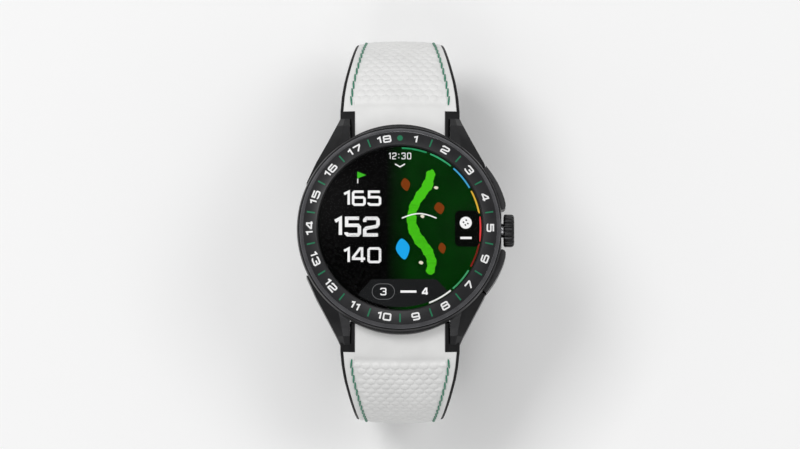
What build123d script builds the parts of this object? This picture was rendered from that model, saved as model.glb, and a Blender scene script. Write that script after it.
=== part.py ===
"""Golf GPS watch: round case, crown, two pushers, two-piece strap and folding clasp.

Millimetres, +Z up out of the dial, +X toward the crown, +Y toward twelve o'clock.
The origin is under the dial centre, on the flat outer face of the clasp cover.
"""

from build123d import *
import math
import os

os.makedirs("parts", exist_ok=True)

# Driving dimensions ---------------------------------------------------------
TOP_Z = 61.5                 # outer face of the crystal
CRYSTAL_R = 18.1
CRYSTAL_T = 1.4
CRYSTAL_SEAL_R = 18.25
DISPLAY_R = 17.9
DISPLAY_T = 0.78
BEZEL_EDGE_R = 21.2
BEZEL_R = 22.1
BEZEL_SKIRT_R = 20.6
CASE_R = 22.4
CASE_RIM_Z = 59.3
LIP_R = 20.6                 # lips of the case over the strap ends, tapering into the barrel
LIP_SHIFT = 2.5              # how far each lip's centre lies from the dial axis
LIP_Z0 = 56.4
LIP_Z1 = 58.4
CASE_FLOOR_Z = 50.0
CAVITY_R = 19.4
BACK_R = 19.6
BACK_Z = 48.7
WINDOW_R = 10.0
LUG_GAP = 22.0
LUG_TIP_Y = 24.9
# Lug stations: y, outer x, ridge x, top z, drop of the flank, bottom z
LUG_STATIONS = (
    (10.2, 20.5, 16.2, 58.9, 1.4, 49.6),
    (12.8, 19.3, 15.2, 58.5, 1.7, 49.4),
    (15.0, 18.3, 14.4, 57.9, 1.9, 49.1),
    (17.2, 17.1, 13.7, 57.1, 2.0, 48.8),
    (19.4, 15.9, 13.2, 56.3, 1.9, 48.4),
    (21.5, 14.8, 12.8, 55.5, 1.7, 48.0),
    (23.2, 13.9, 12.5, 54.9, 1.4, 47.9),
    (24.9, 13.1, 12.1, 53.0, 0.9, 48.9),
)
BAR_Y = 22.9
BAR_Z = 50.9
BAR_R = 0.9
CROWN_Z = 54.4
CROWN_R = 3.58
CROWN_SEAT_X = 22.2          # flat of the case behind the crown
CROWN_IN_X = 22.65
CROWN_OUT_X = 25.05
CROWN_RIDGES = 18
STEM_R = 1.0
TUBE_BORE_R = 1.06
TUBE_R = 1.6
PUSHER_ANGLE = 25.0
PUSHER_Z0 = 52.1
PUSHER_Z1 = 57.3
PUSHER_STEM_R = 0.6
PUSHER_TRAVEL = 0.6
STRAP_T = 3.2
LEATHER_T = 1.3
RUBBER_EDGE = 0.65
RUBBER_STEP = 0.2
LOOP_START = (27.04, 52.44)  # y and z where both bends leave the shoulders
LOOP_FLOOR = 1.3             # height of the strap's outer face under the wrist
# Strap half: reach along Y, slope at the shoulder, flex line's run along the bend
STRAP_12 = (44.9, 22.0, 63.0)
STRAP_6 = (39.7, 36.0, 8.5)
# Run along the bend and half width there, the same for both strap halves
STRAP_WIDTHS = (
    (0.0, 13.1), (4.0, 12.8), (8.0, 12.3), (12.0, 11.65), (16.0, 11.05),
    (20.0, 10.5), (24.0, 10.05), (28.0, 9.7), (32.0, 9.6),
)
FLEX_GAP = 0.05              # half of the gap between the solids either side of a flex line
SHOULDER_HALF = 13.15
SHELF_Y = 26.9               # where the leather widens past the lugs
TONGUE_TOP_HALF = 9.9
STRAP_12_EXTRA = 2.3         # straight end past the bend
STRAP_6_SHORT = 2.1          # how far short of the bend's end the six o'clock half stops
TONGUE_HALF = 10.9
COVER_HALF = 10.0
COVER_WALL = 0.8
COVER_FLOOR = 0.9
COVER_TOP = 4.4
COVER_Y0 = -18.5
COVER_Y1 = 17.0
BLADE_HALF = 6.8
BLADE_T = 0.8
PIN_R = 0.5
BUTTON_Y0 = 2.0
BUTTON_Y1 = 9.0
CONTACT_X = (-4.5, -1.5, 1.5, 4.5)   # charging contacts in the back
PIN_BORE_R = 0.55
CLASP_BAR_R = 0.75
OUTER_HINGE = (15.2, 1.9)    # y and z of the clasp pivots
INNER_HINGE = (-9.5, 2.9)
STRAP_12_PIVOT = (19.0, 3.0)
STRAP_6_PIVOT = (-16.5, 3.0)


def save(shape, name):
    """Write one node."""
    shape.label = name
    export_step(shape, f"parts/{name}.step")


def group(solids):
    """Several separate solids kept in one node."""
    return Compound(children=list(solids))


def ring(outer, inner, low, high):
    """Flat ring about the dial axis."""
    disc = Cylinder(outer, high - low, align=(Align.CENTER, Align.CENTER, Align.MIN))
    hole = Cylinder(inner, high - low, align=(Align.CENTER, Align.CENTER, Align.MIN))
    return Pos(0, 0, low) * (disc - hole)


def disc_at(x, y, radius, low, high):
    """Upright cylinder between two heights."""
    solid = Cylinder(radius, high - low, align=(Align.CENTER, Align.CENTER, Align.MIN))
    return Pos(x, y, low) * solid


def box_between(low, high):
    """Box from its lowest corner to its highest."""
    size = [b - a for a, b in zip(low, high)]
    middle = [(a + b) / 2 for a, b in zip(low, high)]
    return Pos(*middle) * Box(*size)


def rod_x(x0, x1, y, z, radius):
    """Round rod along X."""
    solid = Cylinder(radius, x1 - x0, align=(Align.CENTER, Align.CENTER, Align.MIN))
    return Pos(x0, y, z) * Rot(0, 90, 0) * solid


def turned(points):
    """Solid of revolution about the dial axis from (radius, height) points."""
    face = Plane.XZ * make_face(Polyline(*points, close=True))
    return revolve(face, axis=Axis.Z)


def plan_prism(points, low, high):
    """Prism from a plan outline between two heights."""
    face = Pos(0, 0, low) * make_face(Polyline(*points, close=True))
    return extrude(face, amount=high - low, dir=(0, 0, 1))


def side_prism(points, half):
    """Prism along X, centred, from (y, z) points."""
    face = Plane.YZ * make_face(Polyline(*points, close=True))
    return extrude(face, amount=half, both=True)


def front_prism(points, y0, y1):
    """Prism along Y from (x, z) points."""
    face = Pos(0, y0, 0) * (Plane.XZ * make_face(Polyline(*points, close=True)))
    return extrude(face, amount=y1 - y0, dir=(0, 1, 0))


def mirror_x(points):
    """Close a right-hand outline with its mirror image."""
    return list(points) + [(-x, z) for x, z in reversed(points)]


def turn_about_dial(shape, angle):
    """Turn a shape about the dial axis."""
    return Rot(0, 0, angle) * shape


# Case -----------------------------------------------------------------------
def case_barrel():
    """Round body of the middle case with its cavity."""
    outer = [(0, 49.0), (20.3, 49.0), (21.6, 50.2), (CASE_R, 53.0), (CASE_R + 0.2, 58.5)]
    outer += [(CASE_R, CASE_RIM_Z), (0, CASE_RIM_Z)]
    return turned(outer)


def lug_section(y, x_out, x_ridge, top, flank, bottom):
    """Cross-section of a lug at one station: flat top, sloping flank, upright side."""
    points = [(LUG_GAP / 2, bottom), (LUG_GAP / 2, top), (x_ridge, top)]
    points += [(x_out, top - flank), (x_out, bottom + 1.2), (x_out - 1.2, bottom)]
    face = make_face(Polyline(*points, close=True))
    return Pos(0, y, 0) * (Plane.XZ * face)


def lug():
    """One lug, upper right, lofted through its stations."""
    sections = [lug_section(*station) for station in LUG_STATIONS]
    parts = []
    for first, second in zip(sections, sections[1:]):
        parts.append(loft([first, second], ruled=True))
    body = parts[0]
    for part in parts[1:]:
        body = body + part
    return body


def pusher_plan(inset, reach):
    """Plan outline of the upper pusher, grown by an inset and moved in by a reach."""
    nx = math.cos(math.radians(PUSHER_ANGLE))
    ny = math.sin(math.radians(PUSHER_ANGLE))
    outer = [(18.9, 14.0), (19.9, 12.7), (20.7, 11.5), (21.4, 10.3), (22.0, 9.1), (22.5, 7.9)]
    outer += [(22.9, 6.7), (23.15, 5.7), (23.15, 5.0), (22.85, 4.5), (22.4, 4.35)]
    inner = [(21.3, 4.35), (21.1, 6.0), (20.5, 8.0), (19.7, 9.9), (18.7, 11.7), (17.9, 13.0)]
    if inset == 0:
        return outer + inner
    grown = [(x + 3 * nx, y + 3 * ny) for x, y in outer]
    grown[-1] = (grown[-1][0], inner[0][1] - inset - reach * ny)
    grown[0] = (grown[0][0] - inset, grown[0][1] + 4 * inset)
    pocket = [(x - (reach + inset) * nx, y - (reach + inset) * ny) for x, y in inner]
    pocket[0] = (pocket[0][0], inner[0][1] - inset - reach * ny)
    end_x, end_y = pocket[-1]
    pocket[-1] = (end_x - inset, end_y)
    pocket.append((end_x - 1.5 * inset, end_y + 5 * inset))
    return grown + pocket


def pusher_rod(radius, start, end):
    """Rod along the pusher's travel, between two distances from the dial axis."""
    return turn_about_dial(rod_x(start, end, 0, CROWN_Z, radius), PUSHER_ANGLE)


def both_pushers(shape):
    """Upper shape and its mirror image for the lower pusher."""
    return [shape, mirror(shape, Plane.XZ)]


def strap_lips():
    """Lips that cover both strap ends where they meet the barrel."""
    slope = 0.4
    lips = disc_at(0, 0, LIP_R, LIP_Z0, LIP_Z1)
    for y in (-LIP_SHIFT, LIP_SHIFT):
        lips = lips + disc_at(0, y, LIP_R, LIP_Z0, LIP_Z1 - slope)
        lips = lips + disc_at(0, y, LIP_R - slope, LIP_Z1 - slope, LIP_Z1)
    return lips


def middle_case():
    """Barrel and lugs with every pocket and bore cut."""
    body = case_barrel()
    blank = lug()
    for copy in (blank, mirror(blank, Plane.XZ)):
        body = body + copy + mirror(copy, Plane.YZ)
    body = body + strap_lips()
    recess_half = CROWN_R + 0.45
    low = (CROWN_SEAT_X, -recess_half, CROWN_Z - recess_half)
    body = body - box_between(low, (30.0, recess_half, 62.0))
    body = body - disc_at(0, 0, CAVITY_R, 51.4, 57.2)
    body = body - disc_at(0, 0, BEZEL_SKIRT_R, 57.2, 58.0)
    body = body - disc_at(0, 0, BEZEL_R + 0.15, 58.0, 62.0)
    body = body - disc_at(0, 0, 16.5, 49.0, 51.5)
    body = body - disc_at(0, 0, BACK_R + 0.05, 48.0, CASE_FLOOR_Z)
    for side in (1, -1):
        y_near = 20.25 * side
        y_far = 30.0 * side
        low = (-LUG_GAP / 2, min(y_near, y_far), 40.0)
        high = (LUG_GAP / 2, max(y_near, y_far), 56.2)
        body = body - box_between(low, high)
        body = body - rod_x(-12.3, 12.3, BAR_Y * side, BAR_Z, 0.5)
    body = body - rod_x(15.0, 23.0, 0, CROWN_Z, TUBE_R)
    pocket = plan_prism(pusher_plan(0.12, PUSHER_TRAVEL), PUSHER_Z0 - 0.1, PUSHER_Z1 + 0.1)
    for cut in both_pushers(pocket) + both_pushers(pusher_rod(1.2, 15.0, 23.0)):
        body = body - cut
    for angle in (45, 135, 225, 315):
        body = body - turn_about_dial(disc_at(18.0, 0, 0.55, 49.0, 51.2), angle)
    return body


def bezel():
    """Bezel ring with sloping face, polished chamfer and locating skirt."""
    points = [(CRYSTAL_SEAL_R, 61.35), (BEZEL_EDGE_R, 60.2), (BEZEL_R, 59.45)]
    points += [(BEZEL_R, 58.0), (BEZEL_SKIRT_R, 58.0), (BEZEL_SKIRT_R, 57.3), (19.9, 57.3)]
    points += [(19.9, 59.0), (17.95, 59.6), (17.95, 60.1), (CRYSTAL_SEAL_R, 60.1)]
    return turned(points)


def crystal():
    """Flat crystal with a small bevel."""
    low = TOP_Z - CRYSTAL_T
    points = [(0, low), (CRYSTAL_R, low), (CRYSTAL_R, TOP_Z - 0.25)]
    points += [(CRYSTAL_R - 0.25, TOP_Z), (0, TOP_Z)]
    return turned(points)


def case_back():
    """Back cover with its sensor opening, screw seats and contact holes."""
    points = [(WINDOW_R, BACK_Z - 0.3), (16.0, BACK_Z - 0.3), (19.0, BACK_Z), (BACK_R, 49.2)]
    points += [(BACK_R, CASE_FLOOR_Z), (WINDOW_R, CASE_FLOOR_Z)]
    plate = turned(points)
    for angle in (45, 135, 225, 315):
        plate = plate - turn_about_dial(disc_at(18.0, 0, 0.6, 48.0, 51.0), angle)
        plate = plate - turn_about_dial(disc_at(18.0, 0, 1.15, 48.0, 49.4), angle)
    for x in CONTACT_X:
        plate = plate - disc_at(x, -13.2, 0.8, 48.0, 51.0)
    return plate


def back_screw():
    """One slotted screw that holds the back."""
    screw = disc_at(18.0, 0, 1.1, 48.85, 49.4) + disc_at(18.0, 0, 0.55, 49.4, 51.1)
    return screw - box_between((17.0, -0.15, 48.0), (19.0, 0.15, 49.05))


def sensor_window():
    """Domed window over the heart-rate sensor."""
    points = [(0, 47.7), (3.5, 47.8), (6.5, 48.1), (9.0, 48.6), (WINDOW_R, 49.1)]
    points += [(WINDOW_R, 49.9), (0, 49.9)]
    return turned(points)


def save_case():
    """Case, bezel, glass, back and what seals them."""
    save(middle_case(), "middle_case")
    save(bezel(), "bezel_ring")
    save(crystal(), "crystal")
    save(ring(CRYSTAL_SEAL_R, CRYSTAL_R, TOP_Z - CRYSTAL_T, 61.2), "crystal_gasket")
    save(case_back(), "case_back")
    save(ring(16.4, 15.6, CASE_FLOOR_Z, 50.6), "case_back_gasket")
    screws = [turn_about_dial(back_screw(), angle) for angle in (45, 135, 225, 315)]
    save(group(screws), "case_back_screws")
    save(sensor_window(), "sensor_window")
    contacts = [disc_at(x, -13.2, 0.8, 48.3, 50.3) for x in CONTACT_X]
    save(group(contacts), "charging_contacts")


# Inside the case ------------------------------------------------------------
def display_bracket():
    """Ring that carries the display, with four feet on the case wall."""
    frame = ring(19.2, 14.0, 58.3, 59.2)
    for angle in (0, 90, 180, 270):
        frame = frame + turn_about_dial(box_between((17.9, -2, 57.3), (19.2, 2, 58.3)), angle)
    return frame


def gps_antenna():
    """Open ring aerial under the bracket."""
    band = ring(19.2, 18.3, 56.5, 57.2)
    return band - box_between((-22, -4, 56), (-10, 4, 58))


def main_board():
    """Round circuit board, cut away over the crown's switch."""
    board = disc_at(0, 0, 17.9, 55.7, 56.4)
    return board - box_between((13.2, -3.6, 55), (20, 3.6, 57))


def board_chips():
    """Chips on top of the board."""
    places = [(-9.5, 6.5, 3.5, 3.5), (-9.0, -6.0, 4.5, 3.0), (9.0, 8.5, 3.0, 4.0), (8.0, -9.5, 4.0, 3.0)]
    chips = []
    for x, y, wide, deep in places:
        low = (x - wide / 2, y - deep / 2, 56.4)
        chips.append(box_between(low, (x + wide / 2, y + deep / 2, 57.3)))
    return group(chips)


def battery():
    """Flat lithium cell with rounded corners."""
    cell = box_between((-10.5, -12.5, 51.3), (8.0, 12.5, 55.3))
    return fillet(cell.edges().filter_by(Axis.Z), 2.0)


def tact_switches():
    """Three small switches behind the crown and the pushers."""
    crown_switch = box_between((13.6, -1.5, 53.2), (15.0, 1.5, 55.4))
    side_switch = box_between((14.9, -1.5, 53.2), (16.4, 1.5, 55.4))
    upper = turn_about_dial(side_switch, PUSHER_ANGLE)
    lower = turn_about_dial(side_switch, -PUSHER_ANGLE)
    return group([crown_switch, upper, lower])


def save_inside():
    """Everything sealed in the case."""
    save(disc_at(0, 0, DISPLAY_R, 59.3, 59.3 + DISPLAY_T), "display_panel")
    save(display_bracket(), "display_bracket")
    save(gps_antenna(), "gps_antenna")
    save(main_board(), "main_board")
    save(box_between((-5.5, -4.5, 56.4), (5.0, 6.5, 57.6)), "processor_shield")
    save(board_chips(), "board_chips")
    save(battery(), "battery")
    save(disc_at(-14.7, 4.5, 3.3, 51.6, 54.4), "vibration_motor")
    save(box_between((-17.4, -7.5, 51.6), (-11.6, -2.5, 54.2)), "speaker")
    save(disc_at(0, 0, 9.0, 50.2, 50.9), "sensor_board")
    lights = [disc_at(x, y, 0.9, 49.95, 50.2) for x, y in ((3.2, 0), (-3.2, 0), (0, 3.2), (0, -3.2))]
    save(group(lights), "sensor_lights")
    save(tact_switches(), "tact_switches")


# Crown and pushers ----------------------------------------------------------
def crown_knob():
    """Ribbed crown with a rounded outer edge and a bore for its stem."""
    knob = rod_x(CROWN_IN_X, CROWN_OUT_X, 0, CROWN_Z, CROWN_R)
    knob = fillet(knob.edges().filter_by(GeomType.CIRCLE).sort_by(Axis.X)[-1], 0.6)
    pitch = 360 / CROWN_RIDGES
    for number in range(CROWN_RIDGES):
        angle = math.radians(number * pitch)
        y = (CROWN_R + 0.12) * math.cos(angle)
        z = CROWN_Z + (CROWN_R + 0.12) * math.sin(angle)
        knob = knob - rod_x(CROWN_IN_X - 0.1, CROWN_OUT_X + 0.1, y, z, 0.34)
    knob = knob - rod_x(CROWN_IN_X - 0.1, 23.3, 0, CROWN_Z, TUBE_R + 0.15)
    return knob - rod_x(CROWN_IN_X - 0.1, 24.2, 0, CROWN_Z, STEM_R)


def crown_press_cup():
    """Cup on the inner end of the stem that pushes the crown's switch."""
    cup = rod_x(15.4, 17.3, 0, CROWN_Z, 1.9)
    return cup - rod_x(16.2, 17.4, 0, CROWN_Z, TUBE_BORE_R)


def pusher():
    """Pusher cap that follows the flank of the case, with its stem."""
    cap = plan_prism(pusher_plan(0, 0), PUSHER_Z0, PUSHER_Z1)
    return cap + pusher_rod(PUSHER_STEM_R, 17.2, 22.0)


def save_controls():
    """Crown, pushers and the bushes they run in."""
    tube = rod_x(18.6, 22.8, 0, CROWN_Z, TUBE_R) - rod_x(18.0, 24.0, 0, CROWN_Z, TUBE_BORE_R)
    save(tube, "crown_tube")
    save(crown_knob(), "crown_knob")
    save(rod_x(16.3, 24.2, 0, CROWN_Z, STEM_R), "crown_stem")
    save(crown_press_cup(), "crown_press_cup")
    cap = pusher()
    save(cap, "upper_pusher_cap")
    save(mirror(cap, Plane.XZ), "lower_pusher_cap")
    bush = pusher_rod(1.2, 19.2, 20.6) - pusher_rod(PUSHER_STEM_R + 0.06, 19.0, 23.0)
    save(group(both_pushers(bush)), "pusher_bushes")
    clip = pusher_rod(1.0, 17.9, 18.3) - pusher_rod(PUSHER_STEM_R, 17.0, 23.0)
    save(clip, "upper_pusher_clip")
    save(mirror(clip, Plane.XZ), "lower_pusher_clip")


# Strap ----------------------------------------------------------------------
def loop_arcs(half):
    """Start angle, radii and centres of the two arcs of a strap half's bend."""
    reach, slope, _ = half
    start = math.radians(slope)
    upper_r = (reach - LOOP_START[0]) / (1 - math.sin(start))
    centre_z = LOOP_START[1] - upper_r * math.cos(start)
    lower_r = centre_z - LOOP_FLOOR
    return start, upper_r, lower_r, centre_z, reach - upper_r, reach - lower_r


def loop_run(half):
    """Length of both arcs of a bend."""
    start, upper_r, lower_r, _, _, _ = loop_arcs(half)
    return upper_r * (math.pi / 2 - start) + lower_r * math.pi / 2


def loop_point(half, run, depth):
    """Point of a bend at a run from the shoulder, as (y, z)."""
    start, upper_r, lower_r, centre_z, upper_y, lower_y = loop_arcs(half)
    first = upper_r * (math.pi / 2 - start)
    if run <= first:
        angle, radius, centre_y = start + run / upper_r, upper_r, upper_y
    else:
        angle, radius, centre_y = math.pi / 2 + (run - first) / lower_r, lower_r, lower_y
    if angle > math.pi:
        return lower_y - (run - loop_run(half)), LOOP_FLOOR + depth
    radius = radius - depth
    return centre_y + radius * math.sin(angle), centre_z + radius * math.cos(angle)


def band_points(half, start, end, outer, inner, steps=30):
    """Closed (y, z) outline of part of a bend between two depths."""
    runs = [start + (end - start) * i / steps for i in range(steps + 1)]
    top = [loop_point(half, run, outer) for run in runs]
    under = [loop_point(half, run, inner) for run in reversed(runs)]
    return top, under


def strap_width(half, inset):
    """Prism that trims a strap half to its tapering width, seen from the front."""
    edge = [(SHOULDER_HALF, 57.0), (SHOULDER_HALF, 53.2)]
    for run, wide in STRAP_WIDTHS:
        edge.append((wide, loop_point(half, run, 0.0)[1]))
    edge.append((STRAP_WIDTHS[-1][1], -1.0))
    edge = [(x - inset, z) for x, z in edge]
    return front_prism(mirror_x(edge), -50.0, 50.0)


def root_band(half, end, outer, inner, fore):
    """Strap from its seat in the case to a run along the bend."""
    top, under = band_points(half, 0.0, end, outer, inner)
    slope = math.tan(math.radians(half[1] - 2))
    lift = (LOOP_START[0] - LUG_TIP_Y) * slope
    shoulder = LOOP_START[1] + lift
    head = [(20.45, shoulder + 1.45), (22.5, shoulder + 0.95), (LUG_TIP_Y, shoulder)]
    lowered = [(y, z - inner) for y, z in reversed(head)]
    head = [(y, z - outer) for y, z in head]
    tail = [(24.5, 48.7), (21.8, 48.7), (20.45, 50.2)] if fore else lowered
    return side_prism(head + top + under + tail, 14.0)


def lug_clearance():
    """What the lugs take out of the strap's root."""
    left = box_between((-20, 15, 40), (-TONGUE_HALF, LUG_TIP_Y + 0.15, 60))
    right = box_between((TONGUE_HALF, 15, 40), (20, LUG_TIP_Y + 0.15, 60))
    return left + right


def spring_bar_space():
    """Hole for the spring bar and slot for its release lever."""
    hole = rod_x(-12, 12, BAR_Y, BAR_Z, BAR_R + 0.1)
    return hole + box_between((2.2, BAR_Y - 0.8, 47.0), (5.6, BAR_Y + 0.8, BAR_Z))


def root_parts(half, end):
    """Rubber and leather of the fixed part of a strap half."""
    leather = root_band(half, end, 0.0, LEATHER_T, False) & strap_width(half, RUBBER_EDGE)
    for side in (1, -1):
        x0, x1 = sorted((side * TONGUE_TOP_HALF, side * 20.0))
        leather = leather - box_between((x0, 15, 40), (x1, SHELF_Y, 60))
    rubber = root_band(half, end, RUBBER_STEP, STRAP_T, True) & strap_width(half, 0.0)
    rubber = rubber - lug_clearance() - spring_bar_space() - leather
    return rubber, leather


def free_parts(half, start, end):
    """Rubber and leather of a part of the strap that flexes."""
    top, under = band_points(half, start, end, 0.0, LEATHER_T)
    leather = side_prism(top + under, 14.0) & strap_width(half, RUBBER_EDGE)
    top, under = band_points(half, start, end, RUBBER_STEP, STRAP_T)
    rubber = side_prism(top + under, 14.0) & strap_width(half, 0.0)
    return rubber - leather, leather


def end_notch(half, y_limit):
    """Narrow the end of the strap where it enters the clasp."""
    left = box_between((-20, 0, -2), (-half, y_limit, 9))
    return left + box_between((half, 0, -2), (20, y_limit, 9))


def spring_bar():
    """Spring bar tube with its fixed tip; the other end is bored for the sliding tip."""
    bar = rod_x(-10.8, 10.8, BAR_Y, BAR_Z, BAR_R) + rod_x(-12.1, -10.7, BAR_Y, BAR_Z, 0.42)
    bar = bar - rod_x(1.4, 11.0, BAR_Y, BAR_Z, 0.5)
    return bar - box_between((2.2, BAR_Y - 0.45, 49.0), (5.4, BAR_Y + 0.45, BAR_Z))


def release_lever():
    """Sliding tip of the spring bar with the little lever that draws it back."""
    lever = rod_x(2.8, 12.1, BAR_Y, BAR_Z, 0.42)
    return lever + disc_at(4.6, BAR_Y, 0.38, 48.2, BAR_Z) + disc_at(4.6, BAR_Y, 0.7, 47.9, 48.5)


def save_strap():
    """Both strap halves, their spring bars and the quick-release levers."""
    flex = STRAP_12[2]
    end = loop_run(STRAP_12) + STRAP_12_EXTRA
    rubber, leather = root_parts(STRAP_12, flex - FLEX_GAP)
    save(rubber, "strap_12_rubber")
    save(leather, "strap_12_leather")
    rubber, leather = free_parts(STRAP_12, flex + FLEX_GAP, end)
    cut = end_notch(8.0, 20.7) + rod_x(-12, 12, *STRAP_12_PIVOT, CLASP_BAR_R)
    save(rubber - cut, "strap_12_tail_rubber")
    save(leather - cut, "strap_12_tail_leather")
    save(rod_x(-8.0, 8.0, *STRAP_12_PIVOT, CLASP_BAR_R), "clasp_bar_12")
    flex = STRAP_6[2]
    end = loop_run(STRAP_6) - STRAP_6_SHORT
    rubber, leather = root_parts(STRAP_6, flex - FLEX_GAP)
    save(mirror(rubber, Plane.XZ), "strap_6_root_rubber")
    save(mirror(leather, Plane.XZ), "strap_6_root_leather")
    rubber, leather = free_parts(STRAP_6, flex + FLEX_GAP, end)
    bar_hole = rod_x(-12, 12, -STRAP_6_PIVOT[0], STRAP_6_PIVOT[1], CLASP_BAR_R + 0.08)
    cut = end_notch(8.9, 19.6) + bar_hole
    save(mirror(rubber - cut, Plane.XZ), "strap_6_rubber")
    save(mirror(leather - cut, Plane.XZ), "strap_6_leather")
    for name, shape in (("spring_bar", spring_bar()), ("release_lever", release_lever())):
        save(shape, f"{name}_12")
        save(mirror(shape, Plane.XZ), f"{name}_6")


# Folding clasp --------------------------------------------------------------
def clasp_cover():
    """Outer cover: a flat channel with two side walls and slots for the buttons."""
    middle = (COVER_Y0 + COVER_Y1) / 2
    plate = Box(2 * COVER_HALF, COVER_Y1 - COVER_Y0, COVER_TOP)
    plate = fillet(plate.edges().filter_by(Axis.Z), 2.5)
    plate = Pos(0, middle, COVER_TOP / 2) * plate
    inside = COVER_HALF - COVER_WALL
    plate = plate - box_between((-inside, COVER_Y0 - 1, COVER_FLOOR), (inside, COVER_Y1 + 1, 9))
    for side in (1, -1):
        x0, x1 = sorted((side * 8.0, side * 12.0))
        plate = plate - box_between((x0, BUTTON_Y0 - 0.06, 1.44), (x1, BUTTON_Y1 + 0.06, 3.66))
    return plate


def clasp_button():
    """Side button with its retaining flange inside the wall."""
    button = box_between((8.9, BUTTON_Y0, 1.5), (10.95, BUTTON_Y1, 3.6))
    button = fillet(button.edges().filter_by(Axis.Z).sort_by(Axis.X)[-2:], 0.5)
    return button + box_between((8.4, BUTTON_Y0 - 0.6, 1.2), (9.1, BUTTON_Y1 + 0.6, 3.9))


def knuckle(pivot, radius, bore, halves):
    """Bored barrels of a hinge, from pairs of x limits."""
    made = []
    for x0, x1 in halves:
        made.append(rod_x(x0, x1, *pivot, radius) - rod_x(x0 - 1, x1 + 1, *pivot, bore))
    return made


def blade_plate(y0, y1, z0, pivots):
    """Thin blade between two pivots with room round each pin."""
    plate = box_between((-BLADE_HALF, y0, z0), (BLADE_HALF, y1, z0 + BLADE_T))
    for pivot, radius in pivots:
        plate = plate - rod_x(-20, 20, *pivot, radius)
    return plate


def middle_blade():
    """Blade between the cover's hinge and the inner blade's hinge."""
    knuckles = [(OUTER_HINGE, PIN_BORE_R), (INNER_HINGE, PIN_R)]
    blade = blade_plate(INNER_HINGE[0], OUTER_HINGE[0], 1.4, knuckles)
    blade = blade - rod_x(-3.6, 3.6, *INNER_HINGE, 1.1)
    for barrel in knuckle(OUTER_HINGE, 0.95, PIN_BORE_R, [(-BLADE_HALF, BLADE_HALF)]):
        blade = blade + barrel
    for barrel in knuckle(INNER_HINGE, 0.95, PIN_R, [(-BLADE_HALF, -3.6), (3.6, BLADE_HALF)]):
        blade = blade + barrel
    return blade


def inner_blade():
    """Blade from the inner hinge to the fork that takes the strap's end."""
    blade = blade_plate(INNER_HINGE[0], 15.5, 2.95, [])
    blade = blade - rod_x(-20, -3.4, *INNER_HINGE, 1.1) - rod_x(3.4, 20, *INNER_HINGE, 1.1)
    blade = blade - rod_x(-4, 4, *INNER_HINGE, 0.7)
    for barrel in knuckle(INNER_HINGE, 0.95, PIN_BORE_R, [(-3.4, 3.4)]):
        blade = blade + barrel
    blade = blade + box_between((-9.0, 14.9, 2.95), (9.0, 16.4, 2.95 + BLADE_T))
    for side in (1, -1):
        x0, x1 = sorted((side * 8.3, side * 9.0))
        ear = rod_x(x0, x1, *STRAP_12_PIVOT, 1.25)
        ear = ear + box_between((x0, 14.9, 2.95), (x1, 19.0, 2.95 + BLADE_T))
        blade = blade + (ear - rod_x(x0 - 0.1, x1 + 0.1, *STRAP_12_PIVOT, 0.45))
    return blade - rod_x(-4, 4, *INNER_HINGE, PIN_BORE_R)


def save_clasp():
    """Clasp cover, blades, pins and buttons."""
    save(clasp_cover(), "clasp_cover")
    wall = COVER_HALF - COVER_WALL
    save(middle_blade(), "clasp_middle_blade")
    save(inner_blade(), "clasp_inner_blade")
    save(rod_x(-wall, wall, *OUTER_HINGE, PIN_R), "clasp_outer_pin")
    save(rod_x(-BLADE_HALF, BLADE_HALF, *INNER_HINGE, PIN_R), "clasp_inner_pin")
    save(rod_x(-wall, wall, *STRAP_6_PIVOT, CLASP_BAR_R), "clasp_bar_6")
    button = clasp_button()
    save(button, "clasp_button_right")
    save(mirror(button, Plane.YZ), "clasp_button_left")


save_case()
save_inside()
save_controls()
save_strap()
save_clasp()
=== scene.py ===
"""Looks of the golf GPS watch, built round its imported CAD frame. All lengths in millimetres."""

import math

import bmesh
import bpy
import numpy as np
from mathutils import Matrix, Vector


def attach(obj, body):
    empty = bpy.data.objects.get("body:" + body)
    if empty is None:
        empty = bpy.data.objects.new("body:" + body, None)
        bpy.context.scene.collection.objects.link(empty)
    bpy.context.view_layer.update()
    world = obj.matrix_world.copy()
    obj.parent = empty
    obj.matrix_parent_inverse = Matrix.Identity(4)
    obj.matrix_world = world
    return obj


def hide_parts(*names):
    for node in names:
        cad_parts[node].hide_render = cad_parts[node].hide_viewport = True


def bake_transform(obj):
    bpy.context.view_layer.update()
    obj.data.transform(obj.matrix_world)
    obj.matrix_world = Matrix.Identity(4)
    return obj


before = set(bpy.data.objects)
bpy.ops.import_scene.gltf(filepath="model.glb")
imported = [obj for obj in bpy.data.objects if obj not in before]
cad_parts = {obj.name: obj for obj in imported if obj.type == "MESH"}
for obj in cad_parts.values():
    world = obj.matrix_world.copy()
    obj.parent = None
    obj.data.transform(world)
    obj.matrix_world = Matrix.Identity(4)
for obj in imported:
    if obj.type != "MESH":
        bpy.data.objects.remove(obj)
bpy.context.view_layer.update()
MM = 0.001

# Loop of the strap, seen from the side ---------------------------------------
START_Y, START_Z = 27.04, 52.44     # where both bends leave the shoulders
FLOOR_Z = 1.3                       # height of the strap's outer face under the wrist
SEAT_Y = 20.55                      # start of the strap, under the case
LUG_Y = 25.08                       # where the rubber widens past the lugs
SHELF_Y = 26.9                      # where the leather widens past the lugs
PATTERN_Y = 28.5                    # start of the cushions and the stitches
BEND_REACH = {1: 4.0, -1: 1.5}      # run either side of each half's flex line; looked up, but no strip is bent with it
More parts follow.
